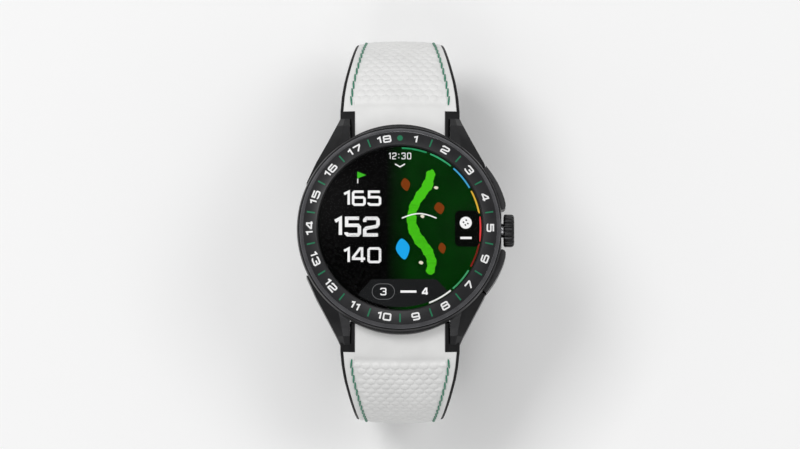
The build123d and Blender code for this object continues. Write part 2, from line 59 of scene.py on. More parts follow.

# Section of the strap --------------------------------------------------------
WIDTH_RUN = [0.0, 4.0, 8.0, 12.0, 16.0, 20.0, 24.0, 28.0, 32.0]
WIDTH_X = [13.1, 12.8, 12.3, 11.65, 11.05, 10.5, 10.05, 9.7, 9.6]   # half widths at those runs
TONGUE_X = 9.9                      # half width of the leather between the lugs
TONGUE_RUBBER_X = 10.98             # half width of the rubber between the lugs
CROWNING = 0.55                     # how far the strap's edges lie below its middle
TRAY_DEPTH = 1.0                    # underside of the leather, from the outer face
STRAP_DEPTH = 3.15                  # wrist side of the rubber, from the outer face
LEATHER_INSET = 0.65                # rubber edge showing beside the leather
SEAM_INSET = 2.2                    # stitched seam from the strap's edge
CELL_X, CELL_RUN = 2.12, 1.52       # pitch of the leather's cushions
CUSHION = 0.23                      # height of the leather's cushions
HAIR = 0.02                         # run between two rings that make a step

# Head ------------------------------------------------------------------------
BEZEL_IN, BEZEL_OUT = 18.3, 21.2    # radii of the sloping bezel face
BEZEL_HIGH, BEZEL_LOW = 61.3, 60.2  # its heights at those radii
NUMERAL_R, TICK_R = 19.78, 19.8
HOLES, HOLE_ANGLE = 18, 20          # numbers round the bezel, and degrees between them
DISPLAY_R = 17.88
DISPLAY_Z, DISPLAY_BACK_Z = 60.09, 59.4
RIM_R, PLATE_R = 17.62, 17.35       # coloured arcs, and the edge of the lower plate
CROWN_Z = 54.4

# Studio sizes ----------------------------------------------------------------
CAMERA_ELEVATION = 84.0
CAMERA_DISTANCE = 4000.0
CAMERA_AIM = (0.0, 0.66, 61.5)
VIEW_WIDTH = 175.055                # what the picture spans at the aim
SENSOR_WIDTH = 36.0
FLOOR_HALF = 3000.0
LAMP_SIZE = 450.0
LAMP_AIM = (0.0, 0.0, 50.0)
WORLD_LIGHT = 0.42


# Materials -------------------------------------------------------------------
class Graph:
    """Small helper round one material's node tree."""

    def __init__(self, name):
        self.mat = bpy.data.materials.new(name)
        self.mat.use_nodes = True
        self.tree = self.mat.node_tree
        self.tree.nodes.clear()
        self.out = self.add("ShaderNodeOutputMaterial")

    def add(self, kind, **props):
        node = self.tree.nodes.new(kind)
        for key, value in props.items():
            setattr(node, key, value)
        return node

    def link(self, a, b):
        self.tree.links.new(a, b)

    def principled(self, **values):
        node = self.add("ShaderNodeBsdfPrincipled")
        for key, value in values.items():
            node.inputs[key.replace("_", " ")].default_value = value
        self.link(node.outputs[0], self.out.inputs["Surface"])
        return node

    def coords(self, scale=(1, 1, 1)):
        """Object coordinates in millimetres."""
        place = self.add("ShaderNodeTexCoord")
        mapping = self.add("ShaderNodeMapping")
        mapping.inputs["Scale"].default_value = [1000 * s for s in scale]
        self.link(place.outputs["Object"], mapping.inputs["Vector"])
        return mapping.outputs[0]

    def noise(self, vector, scale, detail=3.0, rough=0.5):
        node = self.add("ShaderNodeTexNoise")
        node.inputs["Scale"].default_value = scale
        node.inputs["Detail"].default_value = detail
        node.inputs["Roughness"].default_value = rough
        self.link(vector, node.inputs["Vector"])
        return node.outputs["Fac"]

    def remap(self, value, low, high, out_low, out_high):
        node = self.add("ShaderNodeMapRange")
        node.inputs["From Min"].default_value = low
        node.inputs["From Max"].default_value = high
        node.inputs["To Min"].default_value = out_low
        node.inputs["To Max"].default_value = out_high
        self.link(value, node.inputs["Value"])
        return node.outputs[0]

    def mix(self, factor, first, second):
        node = self.add("ShaderNodeMix", data_type="RGBA")
        node.inputs["A"].default_value = (*first, 1)
        node.inputs["B"].default_value = (*second, 1)
        self.link(factor, node.inputs["Factor"])
        return node.outputs["Result"]

    def bump(self, height, strength, distance, shader, normal=None):
        node = self.add("ShaderNodeBump")
        node.inputs["Strength"].default_value = strength
        node.inputs["Distance"].default_value = distance * MM
        self.link(height, node.inputs["Height"])
        if normal is not None:
            self.link(normal, node.inputs["Normal"])
        self.link(node.outputs[0], shader.inputs["Normal"])
        return node.outputs[0]


def srgb(r, g, b):
    """Linear colour from 0-255 screen values."""
    def line(v):
        v = v / 255
        return v / 12.92 if v <= 0.04045 else ((v + 0.055) / 1.055) ** 2.4
    return (line(r), line(g), line(b))


def metal(name, dark, light, rough, metallic=1.0, grain=9.0, stretch=(1, 1, 1)):
    """Coated or bare metal with fine grain, cloudy roughness and small wear."""
    g = Graph(name)
    shader = g.principled(Metallic=metallic)
    place = g.coords(stretch)
    cloud = g.noise(place, 0.35, 4.0)
    fine = g.noise(place, grain, 2.0)
    g.link(g.mix(g.remap(cloud, 0.3, 0.7, 0, 1), dark, light), shader.inputs["Base Color"])
    g.link(g.remap(fine, 0.25, 0.75, rough - 0.05, rough + 0.07), shader.inputs["Roughness"])
    g.bump(fine, 0.12, 0.01, shader)
    return g.mat


def rubber(name, colour, rough=0.55):
    """Moulded rubber: very fine orange-peel and dusty roughness."""
    g = Graph(name)
    shader = g.principled(Specular_IOR_Level=0.2)
    place = g.coords()
    cloud = g.noise(place, 0.5, 4.0)
    fine = g.noise(place, 14.0, 3.0)
    light = tuple(min(1.0, c * 1.6 + 0.004) for c in colour)
    g.link(g.mix(g.remap(cloud, 0.35, 0.7, 0, 1), colour, light), shader.inputs["Base Color"])
    g.link(g.remap(cloud, 0.3, 0.7, rough - 0.06, rough + 0.08), shader.inputs["Roughness"])
    g.bump(fine, 0.25, 0.02, shader)
    return g.mat


def leather(name, colour):
    """Smooth coated leather: pores, faint creases and uneven sheen."""
    g = Graph(name)
    shader = g.principled(Specular_IOR_Level=0.4, Sheen_Weight=0.08)
    place = g.coords()
    pores = g.add("ShaderNodeTexVoronoi", feature="F1")
    pores.inputs["Scale"].default_value = 3.6
    g.link(place, pores.inputs["Vector"])
    cloud = g.noise(place, 0.18, 5.0)
    fine = g.noise(place, 6.0, 4.0, 0.6)
    shade = tuple(c * 0.93 for c in colour)
    g.link(g.mix(g.remap(cloud, 0.3, 0.7, 0, 1), colour, shade), shader.inputs["Base Color"])
    g.link(g.remap(fine, 0.3, 0.7, 0.46, 0.6), shader.inputs["Roughness"])
    first = g.bump(pores.outputs["Distance"], 0.18, 0.03, shader)
    g.bump(fine, 0.12, 0.02, shader, first)
    return g.mat


def thread(name, colour):
    """Twisted sewing thread, with painted highlight on the crests of its twist and painted shade in its
    grooves.
    """
    g = Graph(name)
    shader = g.principled(Roughness=0.7, Sheen_Weight=0.3)
    place = g.coords()
    twist_and_highlight = g.add("ShaderNodeTexWave", bands_direction="DIAGONAL")
    twist_and_highlight.inputs["Scale"].default_value = 2.2
    twist_and_highlight.inputs["Distortion"].default_value = 1.5
    g.link(place, twist_and_highlight.inputs["Vector"])
    # painted highlight and shade: the thread's colour is lighter where the twist's bump is high and
    # darker in its grooves
    light = tuple(min(1.0, c * 1.7 + 0.01) for c in colour)
    g.link(g.mix(twist_and_highlight.outputs["Fac"], colour, light), shader.inputs["Base Color"])
    g.bump(twist_and_highlight.outputs["Fac"], 0.5, 0.05, shader)
    return g.mat


def ceramic(name, dark, light):
    """Satin ceramic with a faint cloud."""
    g = Graph(name)
    shader = g.principled(Specular_IOR_Level=0.3)
    place = g.coords()
    cloud = g.noise(place, 0.4, 3.0)
    fine = g.noise(place, 20.0, 2.0)
    g.link(g.mix(g.remap(cloud, 0.3, 0.7, 0, 1), dark, light), shader.inputs["Base Color"])
    g.link(g.remap(cloud, 0.3, 0.7, 0.3, 0.36), shader.inputs["Roughness"])
    g.bump(fine, 0.05, 0.004, shader)
    return g.mat


def paint(name, colour, rough=0.45):
    """Enamel filling or moulded plastic."""
    g = Graph(name)
    shader = g.principled(Specular_IOR_Level=0.3)
    place = g.coords()
    fine = g.noise(place, 8.0, 2.0)
    shade = tuple(c * 0.9 for c in colour)
    g.link(g.mix(fine, colour, shade), shader.inputs["Base Color"])
    g.link(g.remap(fine, 0.3, 0.7, rough - 0.05, rough + 0.05), shader.inputs["Roughness"])
    g.bump(fine, 0.1, 0.005, shader)
    return g.mat


def lit(name, colour, variation=0.06):
    """Lit part of the display: even light with a faint grain."""
    g = Graph(name)
    shader = g.principled(Base_Color=(0, 0, 0, 1), Roughness=0.5, Specular_IOR_Level=0.0)
    shader.inputs["Emission Strength"].default_value = 1.0
    grain = g.noise(g.coords(), 6.0, 2.0)
    shade = tuple(c * (1 - variation) for c in colour)
    g.link(g.mix(grain, colour, shade), shader.inputs["Emission Color"])
    return g.mat


def glow_field(name):
    """Dark map background that glows green towards the right of the display."""
    g = Graph(name)
    shader = g.principled(Base_Color=(0, 0, 0, 1), Roughness=0.5, Specular_IOR_Level=0.0)
    shader.inputs["Emission Strength"].default_value = 1.0
    split = g.add("ShaderNodeSeparateXYZ")
    place = g.coords()
    g.link(place, split.inputs[0])
    across = g.remap(split.outputs["X"], -3.0, 2.5, 0.0, 1.0)
    cloud = g.remap(g.noise(place, 0.22, 2.0), 0.35, 0.65, 0.75, 1.0)
    both = g.add("ShaderNodeMath", operation="MULTIPLY")
    g.link(across, both.inputs[0])
    g.link(cloud, both.inputs[1])
    colour = g.mix(both.outputs[0], srgb(0, 0, 0), srgb(0, 45, 2))
    g.link(colour, shader.inputs["Emission Color"])
    return g.mat


def clear_glass(name):
    """Coated sapphire: see-through, with a faint smear in its thin surface layer."""
    g = Graph(name)
    shader = g.principled(Base_Color=(0.02, 0.02, 0.02, 1), Alpha=0.02, Specular_IOR_Level=0.5)
    smear = g.noise(g.coords(), 0.12, 3.0)
    g.link(g.remap(smear, 0.4, 0.8, 0.26, 0.34), shader.inputs["Roughness"])
    return g.mat


CASE_BLACK = metal("case_black", srgb(42, 42, 43), srgb(50, 50, 51), rough=0.36, metallic=0.85)
BEZEL_BLACK = ceramic("bezel_black", srgb(27, 27, 29), srgb(34, 34, 36))
BEZEL_EDGE = metal("bezel_edge", srgb(95, 95, 98), srgb(110, 110, 113), rough=0.2, metallic=0.9)
STEEL = metal("brushed_steel", srgb(165, 165, 168), srgb(185, 185, 188), rough=0.3, grain=6.0,
              stretch=(1, 0.08, 1))
RUBBER_BLACK = rubber("rubber_black", srgb(13, 13, 14))
SEAL_BLACK = rubber("seal_black", srgb(14, 14, 15))
LEATHER_WHITE = leather("leather_white", srgb(230, 230, 229))
THREAD_GREEN = thread("thread_green", srgb(24, 104, 78))
PAINT_WHITE = paint("paint_white", srgb(238, 238, 238))
PAINT_GREEN = paint("paint_green", srgb(20, 112, 76))
PLASTIC_BLACK = paint("plastic_black", srgb(20, 20, 21), rough=0.35)
BOARD = paint("board_mask", srgb(18, 84, 52), rough=0.3)
FOIL = paint("battery_foil", srgb(120, 122, 126), rough=0.4)
GOLD = metal("gold_plate", srgb(214, 170, 92), srgb(230, 186, 110), rough=0.25)
GLASS = clear_glass("sapphire")
FIELD = glow_field("map_field")


# Meshes ----------------------------------------------------------------------
def piece(name, verts, faces, material, body, stands_for=(), sharp=35.0):
    """One mesh from millimetre vertices, shaded smooth below an angle, riding a body."""
    mesh = bpy.data.meshes.new(name)
    points = [tuple(c * MM for c in v) for v in verts]
    mesh.from_pydata(points, [], faces)
    mesh.validate()
    mesh.shade_smooth()
    mesh.set_sharp_from_angle(angle=math.radians(sharp))
    mesh.materials.append(material)
    obj = bpy.data.objects.new(name, mesh)
    bpy.context.scene.collection.objects.link(obj)
    fix_normals(mesh)
    if body:
        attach(obj, body)
    if stands_for:
        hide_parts(*stands_for)
    return obj


def fix_normals(mesh):
    """Make every closed shell face outward."""
    work = bmesh.new()
    work.from_mesh(mesh)
    bmesh.ops.recalc_face_normals(work, faces=work.faces)
    work.to_mesh(mesh)
    work.free()


def tube_of_rings(rings, closed=False):
    """Join rings of equal length into one skin; cap the ends or close the loop."""
    count = len(rings[0])
    verts = [tuple(p) for ring in rings for p in ring]
    faces = []
    last = len(rings) if closed else len(rings) - 1
    for i in range(last):
        a, b = i * count, ((i + 1) % len(rings)) * count
        for j in range(count):
            k = (j + 1) % count
            faces.append((a + j, a + k, b + k, b + j))
    if not closed:
        faces.append(tuple(range(count)))
        faces.append(tuple(range((len(rings) - 1) * count, len(rings) * count)))
    return verts, faces


def lathe(profile, segments=240):
    """Turn a closed (radius, height) outline about the dial axis."""
    rings = []
    for i in range(segments):
        angle = math.radians(360.0 * i / segments)
        c, s = math.cos(angle), math.sin(angle)
        rings.append([(r * c, r * s, z) for r, z in profile])
    return tube_of_rings(rings, closed=True)


def merge(parts):
    """Several (verts, faces) pairs as one."""
    verts, faces = [], []
    for part_verts, part_faces in parts:
        base = len(verts)
        verts += list(part_verts)
        faces += [tuple(base + i for i in face) for face in part_faces]
    return verts, faces


def bevel(obj, width, segments=3, angle=30.0):
    """Rounded edges with clean shading."""
    mod = obj.modifiers.new("edge", "BEVEL")
    mod.width = width * MM
    mod.segments = segments
    mod.limit_method = "ANGLE"
    mod.angle_limit = math.radians(angle)
    mod.harden_normals = True


# Flat lettering --------------------------------------------------------------
NARROW = 0.35                       # width of a narrow sign, as a share of a full one
# Lines of each sign in a unit box; an "o" at the end closes a line.
GLYPHS = {
    "0": [[(0.12, 0), (0, 0.1), (0, 0.9), (0.12, 1), (0.88, 1), (1, 0.9), (1, 0.1), (0.88, 0), "o"]],
    "1": [[(0.22, 0.82), (0.62, 1), (0.62, 0)]],
    "2": [[(0, 0.78), (0, 0.9), (0.12, 1), (0.88, 1), (1, 0.9), (1, 0.62), (0.88, 0.51),
           (0.12, 0.4), (0, 0.3), (0, 0), (1, 0)]],
    "3": [[(0, 0.8), (0, 0.9), (0.12, 1), (0.88, 1), (1, 0.9), (1, 0.6), (0.88, 0.52), (0.4, 0.52)],
          [(0.88, 0.52), (1, 0.42), (1, 0.1), (0.88, 0), (0.12, 0), (0, 0.1), (0, 0.2)]],
    "4": [[(0.78, 0), (0.78, 1), (0.6, 1), (0, 0.34), (0, 0.24), (1.05, 0.24)]],
    "5": [[(0.98, 1), (0.04, 1), (0.04, 0.58), (0.88, 0.58), (1, 0.48), (1, 0.1), (0.88, 0),
           (0.12, 0), (0, 0.1), (0, 0.16)]],
    "6": [[(0.92, 1), (0.12, 1), (0, 0.9), (0, 0.1), (0.12, 0), (0.88, 0), (1, 0.1), (1, 0.46),
           (0.88, 0.56), (0, 0.56)]],
    "7": [[(0, 1), (1, 1), (1, 0.86), (0.42, 0)]],
    "8": [[(0.12, 0), (0, 0.1), (0, 0.42), (0.1, 0.52), (0.9, 0.52), (1, 0.42), (1, 0.1),
           (0.88, 0), "o"],
          [(0.1, 0.52), (0.03, 0.62), (0.03, 0.9), (0.14, 1), (0.86, 1), (0.97, 0.9), (0.97, 0.62),
           (0.9, 0.52)]],
    "9": [[(0.08, 0), (0.88, 0), (1, 0.1), (1, 0.9), (0.88, 1), (0.12, 1), (0, 0.9), (0, 0.54),
           (0.12, 0.44), (1, 0.44)]],
    ":": [[(0.5, 0.12), (0.5, 0.3)], [(0.5, 0.7), (0.5, 0.88)]],
}


def ribbon(line, width, closed=False):
    """Left and right edge of a line of given width, with mitred corners."""
    points = [Vector(p) for p in line]
    count = len(points)
    left, right = [], []
    for i, point in enumerate(points):
        before = points[i - 1] if (i > 0 or closed) else None
        after = points[(i + 1) % count] if (i < count - 1 or closed) else None
        dirs = []
        if before is not None:
            dirs.append((point - before).normalized())
        if after is not None:
            dirs.append((after - point).normalized())
        mean = sum(dirs, Vector((0, 0)))
        mean = mean.normalized() if mean.length > 1e-6 else dirs[0]
        normal = Vector((-mean.y, mean.x))
        stretch = 1 / max(0.55, abs(mean.dot(dirs[0])))
        left.append(point + normal * width / 2 * stretch)
        right.append(point - normal * width / 2 * stretch)
    return left, right


def stroke(line, width, place, thick=0.03, closed=False):
    """Slab along one line; place maps flat (x, y, lift) into space."""
    rings = []
    for a, b in zip(*ribbon(line, width, closed)):
        rings.append([place(a.x, a.y, thick), place(b.x, b.y, thick),
                      place(b.x, b.y, 0), place(a.x, a.y, 0)])
    return tube_of_rings(rings, closed=closed)


def words(text, height, total, weight, place, thick=0.03, gap=0.3):
    """Stroke lettering of a total width, centred on the origin of its placement."""
    shifts = {":": -0.35, "1": -0.3}
    shares = [NARROW if letter in ":1" else 1.0 for letter in text]
    wide = (total - weight - (len(text) - 1) * (gap + weight)) / sum(shares)
    spans = [wide * share for share in shares]
    pen = -(sum(spans) + (len(text) - 1) * (gap + weight)) / 2
    inner = height - weight
    parts = []
    for letter, span in zip(text, spans):
        for line in GLYPHS[letter]:
            closed = line[-1] == "o"
            line = line[:-1] if closed else line
            shift = shifts.get(letter, 0.0) * wide
            full = wide if letter in ":1" else span
            path = [(pen + shift + x * full, -inner / 2 + y * inner) for x, y in line]
            parts.append(stroke(path, weight, place, thick, closed))
        pen += span + gap + weight
    return merge(parts)


def fan(outline, place, thick=0.03):
    """Flat closed shape from its outline."""
    top = [place(x, y, thick) for x, y in outline]
    low = [place(x, y, 0) for x, y in outline]
    return tube_of_rings([low, top])


def disc(radius, count):
    """Outline of a circle."""
    angles = np.linspace(0, 2 * math.pi, count + 1)[:-1]
    return [(radius * math.cos(a), radius * math.sin(a)) for a in angles]


def flat_at(x0, y0, z):
    """Placement on a level plane."""
    return lambda x, y, lift: (x0 + x, y0 + y, z + lift)


def bezel_z(radius):
    """Height of the sloping bezel face."""
    share = (radius - BEZEL_IN) / (BEZEL_OUT - BEZEL_IN)
    return BEZEL_HIGH + (BEZEL_LOW - BEZEL_HIGH) * share


def on_bezel(radius, clock, flip):
    """Placement on the bezel face at an angle clockwise from twelve."""
    proud = 0.02

    def place(x, y, lift):
        if flip:
            x, y = -x, -y
        out = radius + y
        angle = math.radians(90 - clock) - x / radius
        return (out * math.cos(angle), out * math.sin(angle), bezel_z(out) + lift + proud)
    return place


# Strap -----------------------------------------------------------------------
class StrapHalf:
    """Side view of one strap half; side is 1 for twelve o'clock and -1 for six."""

    def __init__(self, side, reach, slope, seat_r, flex):
        self.side, self.slope, self.seat_r, self.flex = side, math.radians(slope), seat_r, flex
        self.upper_r = (reach - START_Y) / (1 - math.sin(self.slope))
        self.centre_z = START_Z - self.upper_r * math.cos(self.slope)
        self.lower_r = self.centre_z - FLOOR_Z
        self.upper_y = reach - self.upper_r
        self.lower_y = reach - self.lower_r
        self.upper_run = self.upper_r * (math.pi / 2 - self.slope)
        self.loop_run = self.upper_run + self.lower_r * math.pi / 2
        self.seat_run = self.run_at_y(SEAT_Y)
        self.lug_run = self.run_at_y(LUG_Y)
        self.shelf_run = self.run_at_y(SHELF_Y)
        self.pattern_run = self.run_at_y(PATTERN_Y)

    def path(self, run):
        """Point (y, z) of the outer face and its outward normal, as if on the +Y side."""
        if run < 0:
            angle, radius = self.slope + run / self.seat_r, self.seat_r
            cy = START_Y - radius * math.sin(self.slope)
            cz = START_Z - radius * math.cos(self.slope)
        elif run <= self.upper_run:
            angle, radius = self.slope + run / self.upper_r, self.upper_r
            cy, cz = self.upper_y, self.centre_z
        elif run <= self.loop_run:
            angle, radius = math.pi / 2 + (run - self.upper_run) / self.lower_r, self.lower_r
            cy, cz = self.lower_y, self.centre_z
        else:
            return (self.lower_y - (run - self.loop_run), FLOOR_Z), (0.0, -1.0)
        normal = (math.sin(angle), math.cos(angle))
        return (cy + radius * normal[0], cz + radius * normal[1]), normal

    def run_at_y(self, target):
        """Run of the upper bend where the outer face reaches a distance from the dial axis."""
        low, high = -8.0, self.upper_run
        for _ in range(40):
            middle = (low + high) / 2
            if self.path(middle)[0][0] < target:
                low = middle
            else:
                high = middle
        return (low + high) / 2

    def point(self, x, run, depth):
        """Point in space at a depth under the gently crowned outer face."""
        (y, z), normal = self.path(run)
        sink = depth + CROWNING * (x / half_width(run)) ** 2
        return (x, self.side * (y - normal[0] * sink), z - normal[1] * sink)


def half_width(run):
    """Half of the strap's width where its path has run this far."""
    return float(np.interp(run, WIDTH_RUN, WIDTH_X))


def seam_x(run):
    """Distance of the stitched seam from the centre line."""
    return half_width(run) - SEAM_INSET


def cells(x, run, limit, first):
    """Height of the hexagonal cushions of the leather, as arrays."""
    wide, tall, valley, doming, margin = 1.06, 0.92, 0.85, 0.45, 0.2
    best = second = np.full(x.shape, 99.0)
    row0 = np.floor((run - first) / CELL_RUN)
    keep = np.zeros(x.shape)
    for dr in (-1, 0, 1, 2):
        row = row0 + dr
        shift = np.where(np.mod(row, 2) == 0, 0.0, 0.5)
        col0 = np.floor(x / CELL_X - shift)
        for dc in (0, 1):
            cx = (col0 + dc + shift) * CELL_X
            cr = first + row * CELL_RUN
            dist = np.sqrt(((x - cx) / wide) ** 2 + ((run - cr) / tall) ** 2)
            ok = (np.abs(cx) < limit) & (cr > first + margin)
            closer = dist < best
            second = np.where(closer, best, np.minimum(second, dist))
            keep = np.where(closer, ok.astype(float), keep)
            best = np.minimum(best, dist)
    edge = np.clip((second - best) / valley, 0, 1)
    edge = edge * edge * (3 - 2 * edge)
    dome = 1 - doming * np.clip(best, 0, 1) ** 2
    return keep * (CUSHION * edge * dome)


def leather_strip(name, half, end, bodies, stands_for):
    """White leather of one strap half, with its cushions, padded start and stitch groove."""
    fine, count = ((0.17, 141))
    roll = 0.32                             # rounding of the long edges
    tuck, tuck_run = 0.25, 0.6              # narrowing of the far end
    groove_deep, groove_wide = 0.1, 0.32
    pad_deep, pad_long = 0.25, 0.9          # step down where the pattern starts
    shelf, first = half.shelf_run, half.pattern_run
    runs = list(np.arange(half.seat_run, shelf - HAIR, fine * 2))
    runs += [shelf - HAIR] + list(np.arange(shelf + HAIR, end - HAIR, fine)) + [end]
    across = np.linspace(-1, 1, count)
    edge = ((0.12, 0.245), (0.22, 0.3), (0.29, 0.4), (roll, 0.55), (roll, TRAY_DEPTH))
    rings = []
    for run in runs:
        wide = TONGUE_X if run < shelf else half_width(run) - LEATHER_INSET
        if run > end - tuck_run:
            wide = wide - tuck * (1 - (end - run) / tuck_run) ** 2
        inner = wide - roll
        xs = across * inner
        limit = seam_x(run) - 1.1
        lift = cells(xs, np.full(xs.shape, run), limit, first)
        near = np.abs(np.abs(xs) - seam_x(run))
        groove = groove_deep * np.exp(-(near / groove_wide) ** 2) * (run > first - 0.4)
        pad = pad_deep * np.exp(-((run - first - 0.2) / pad_long) ** 2) * (np.abs(xs) < limit + 0.4)
        ring = [half.point(x, run, d) for x, d in zip(xs, CUSHION - lift + groove + pad)]
        ring += [half.point(inner + dx, run, dd) for dx, dd in edge]
        ring += [half.point(x, run, TRAY_DEPTH) for x in (inner * 0.5, -inner * 0.5)]
        ring += [half.point(-inner - dx, run, dd) for dx, dd in reversed(edge)]
        rings.append(ring)
    verts, faces = tube_of_rings(rings)
    obj = piece(name, verts, faces, LEATHER_WHITE, None, stands_for, 50.0)
    bend(obj, bodies, half)


def bend(obj, bodies, half):
    """Bake a strip's placement into its mesh; the strip is not bent at its flex line."""
    reach = BEND_REACH[half.side]
    for run in (half.flex - reach, half.flex + reach):
        (y, z), _ = half.path(run)
    bodies[0]
    bodies[1]
    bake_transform(obj)


def rubber_section(outer, inner, depth):
    """Half outline (x, depth) of the rubber tray, from the middle of its floor outwards."""
    return [(0.0, TRAY_DEPTH), (inner * 0.5, TRAY_DEPTH), (inner + 0.02, TRAY_DEPTH),
            (inner + 0.03, 0.55), (inner + 0.07, 0.4), (inner + 0.16, 0.36),
            (outer - 0.45, 0.36), (outer - 0.22, 0.42), (outer - 0.08, 0.55), (outer, 0.8),
            (outer, depth - 0.5), (outer - 0.15, depth - 0.15), (outer - 0.5, depth),
            (outer * 0.5, depth), (0.0, depth)]


def rubber_strip(name, half, end, tip, tip_x, bodies, stands_for):
    """Black rubber tray of one strap half: tongue, shoulders, edges and wrist side."""
    wall = 0.6
    lug, shelf = half.lug_run, half.shelf_run
    runs = list(np.arange(half.seat_run, lug, 0.4)) + [lug, lug + HAIR]
    runs += list(np.arange(lug + 0.2, shelf - 0.1, 0.3)) + [shelf - HAIR, shelf + HAIR]
    runs += list(np.arange(shelf + 0.3, end, 0.5)) + [tip - 0.01, tip, end]
    rings = []
    for run in sorted(runs):
        outer = TONGUE_RUBBER_X if run <= lug else half_width(run)
        inner = TONGUE_X if run < shelf else half_width(run) - LEATHER_INSET
        if run >= tip:
            outer = tip_x
            inner = min(inner, outer - wall)
        section = rubber_section(outer, inner, STRAP_DEPTH)[1:-1]
        ring = [half.point(x, run, d) for x, d in section]
        ring.append(half.point(0, run, STRAP_DEPTH))
        ring += [half.point(-x, run, d) for x, d in reversed(section)]
        ring.append(half.point(0, run, TRAY_DEPTH))
        rings.append(ring)
    verts, faces = tube_of_rings(rings)
    obj = piece(name, verts, faces, RUBBER_BLACK, None, stands_for, 40.0)
    bend(obj, bodies, half)


def stitch(half, hand, start):
    """One slanted stitch of sewing thread, sunk at both ends."""
    length, thick, slant, steps, sides = 2.4, 0.21, 0.4, 8, 8
    bed, rise, proud = 0.25, 0.12, 0.02
    rings = []
    for i in range(steps + 1):
        share = i / steps
        run = start + length * share
        x = hand * (seam_x(run) + slant * (share - 0.5))
        arch = math.sin(math.pi * share)
        lift = rise * arch + proud
        radius = thick * (0.6 + 0.4 * math.sqrt(max(0.0, arch)))
        ring = []
        for j in range(sides):
            a = 2 * math.pi * j / sides
            ring.append(half.point(x + radius * math.cos(a), run, bed - lift - radius * math.sin(a)))
        rings.append(ring)
    return tube_of_rings(rings)


def stitch_row(name, half, end, bodies):
    """Two seams of slanted stitches along one strap half."""
    pitch = 2.25
    parts = []
    for hand in (-1, 1):
        for start in np.arange(half.pattern_run - 0.2, end - pitch, pitch):
            parts.append(stitch(half, hand, float(start)))
    verts, faces = merge(parts)
    obj = piece(name, verts, faces, THREAD_GREEN, None, (), 60.0)
    bend(obj, bodies, half)


def build_strap():
    """Both halves of the strap."""
    twelve = StrapHalf(side=1, reach=44.9, slope=22.0, seat_r=36.0, flex=63.0)
    six = StrapHalf(side=-1, reach=39.7, slope=36.0, seat_r=19.0, flex=8.5)
    # past and notch are runs from the end of the loop: the rubber's end, and its narrower tip
    rows = ((twelve, "strap_12", ("case", "strap_12_tail"), 2.2, -0.46, 8.0, "tail"),
            (six, "strap_6", ("case", "strap_6"), -2.2, -6.25, 8.9, "root"))
    for half, name, bodies, past, notch, tip_x, second in rows:
        tip = half.loop_run + notch
        rubber = (name + "_rubber", f"{name}_{second}_rubber")
        skin = (name + "_leather", f"{name}_{second}_leather")
        rubber_strip(name + "_base", half, half.loop_run + past, tip, tip_x, bodies, rubber)
        leather_strip(name + "_top", half, tip - 0.2, bodies, skin)
        stitch_row(name + "_stitches", half, tip - 1.5, bodies)


# Case ------------------------------------------------------------------------
def build_bezel():
    """Bezel ring, its polished edge, ticks, numerals and marker."""
    face = [(18.28, 60.15), (18.28, 61.2), (18.36, 61.28), (18.5, 61.25), (21.1, 60.26), (21.2, 60.2),
            (21.2, 59.6), (20.6, 58.1), (19.9, 58.1), (19.9, 59.0), (18.3, 59.6)]
    verts, faces = lathe(face)
    ring = piece("bezel_face", verts, faces, BEZEL_BLACK, "case", ("bezel_ring",), 20.0)
    edge = [(21.2, 59.2), (21.2, 60.14), (21.28, 60.17), (21.95, 59.62), (22.08, 59.45), (22.1, 59.3),
            (22.1, 58.2), (21.3, 58.2)]
    verts, faces = lathe(edge)
    piece("bezel_rim", verts, faces, BEZEL_EDGE, "case", (), 30.0)
    numbers, ticks = [], []
    weight, gap = 0.34, 0.36
    for number in range(1, HOLES + 1):
        clock = (number - 0.5) * HOLE_ANGLE
        flip = 100 < clock < 260
        text = str(number)
        wide = sum(NARROW if digit == "1" else 1.0 for digit in text)
        total = weight + 1.5 * wide + (gap + weight) * (len(text) - 1)
        numbers.append(words(text, 1.65, total, weight, on_bezel(NUMERAL_R, clock, flip), gap=gap))
        if number < HOLES:
            place = on_bezel(TICK_R, number * HOLE_ANGLE, False)
            ticks.append(stroke([(0, -0.9), (0, 0.9)], 0.32, place))
    verts, faces = merge(numbers)
    piece("bezel_numerals", verts, faces, PAINT_WHITE, "case")
    verts, faces = merge(ticks)
    piece("bezel_ticks", verts, faces, PAINT_GREEN, "case")
    verts, faces = fan(disc(0.62, 32), on_bezel(NUMERAL_R, 0, False))
    piece("bezel_marker", verts, faces, PAINT_GREEN, "case")


def build_crystal():
    """Crystal with a small bevel round its outer face."""
    segments = 200
    angles = [2 * math.pi * i / segments for i in range(segments)]
    rings = []
    for radius, z in ((18.1, 60.11), (18.1, 61.2), (18.0, 61.4), (17.78, 61.5)):
        rings.append([(radius * math.cos(a), radius * math.sin(a), z) for a in angles])
    verts, faces = tube_of_rings(rings)
    glass = piece("crystal_glass", verts, faces, GLASS, "case", ("crystal",), 50.0)


def glowing(name, shape, look, colour, variation=0.06):
    """One lit piece of the display, in a material of its own."""
    return piece(name, *shape, lit(look, srgb(*colour), variation), "case")


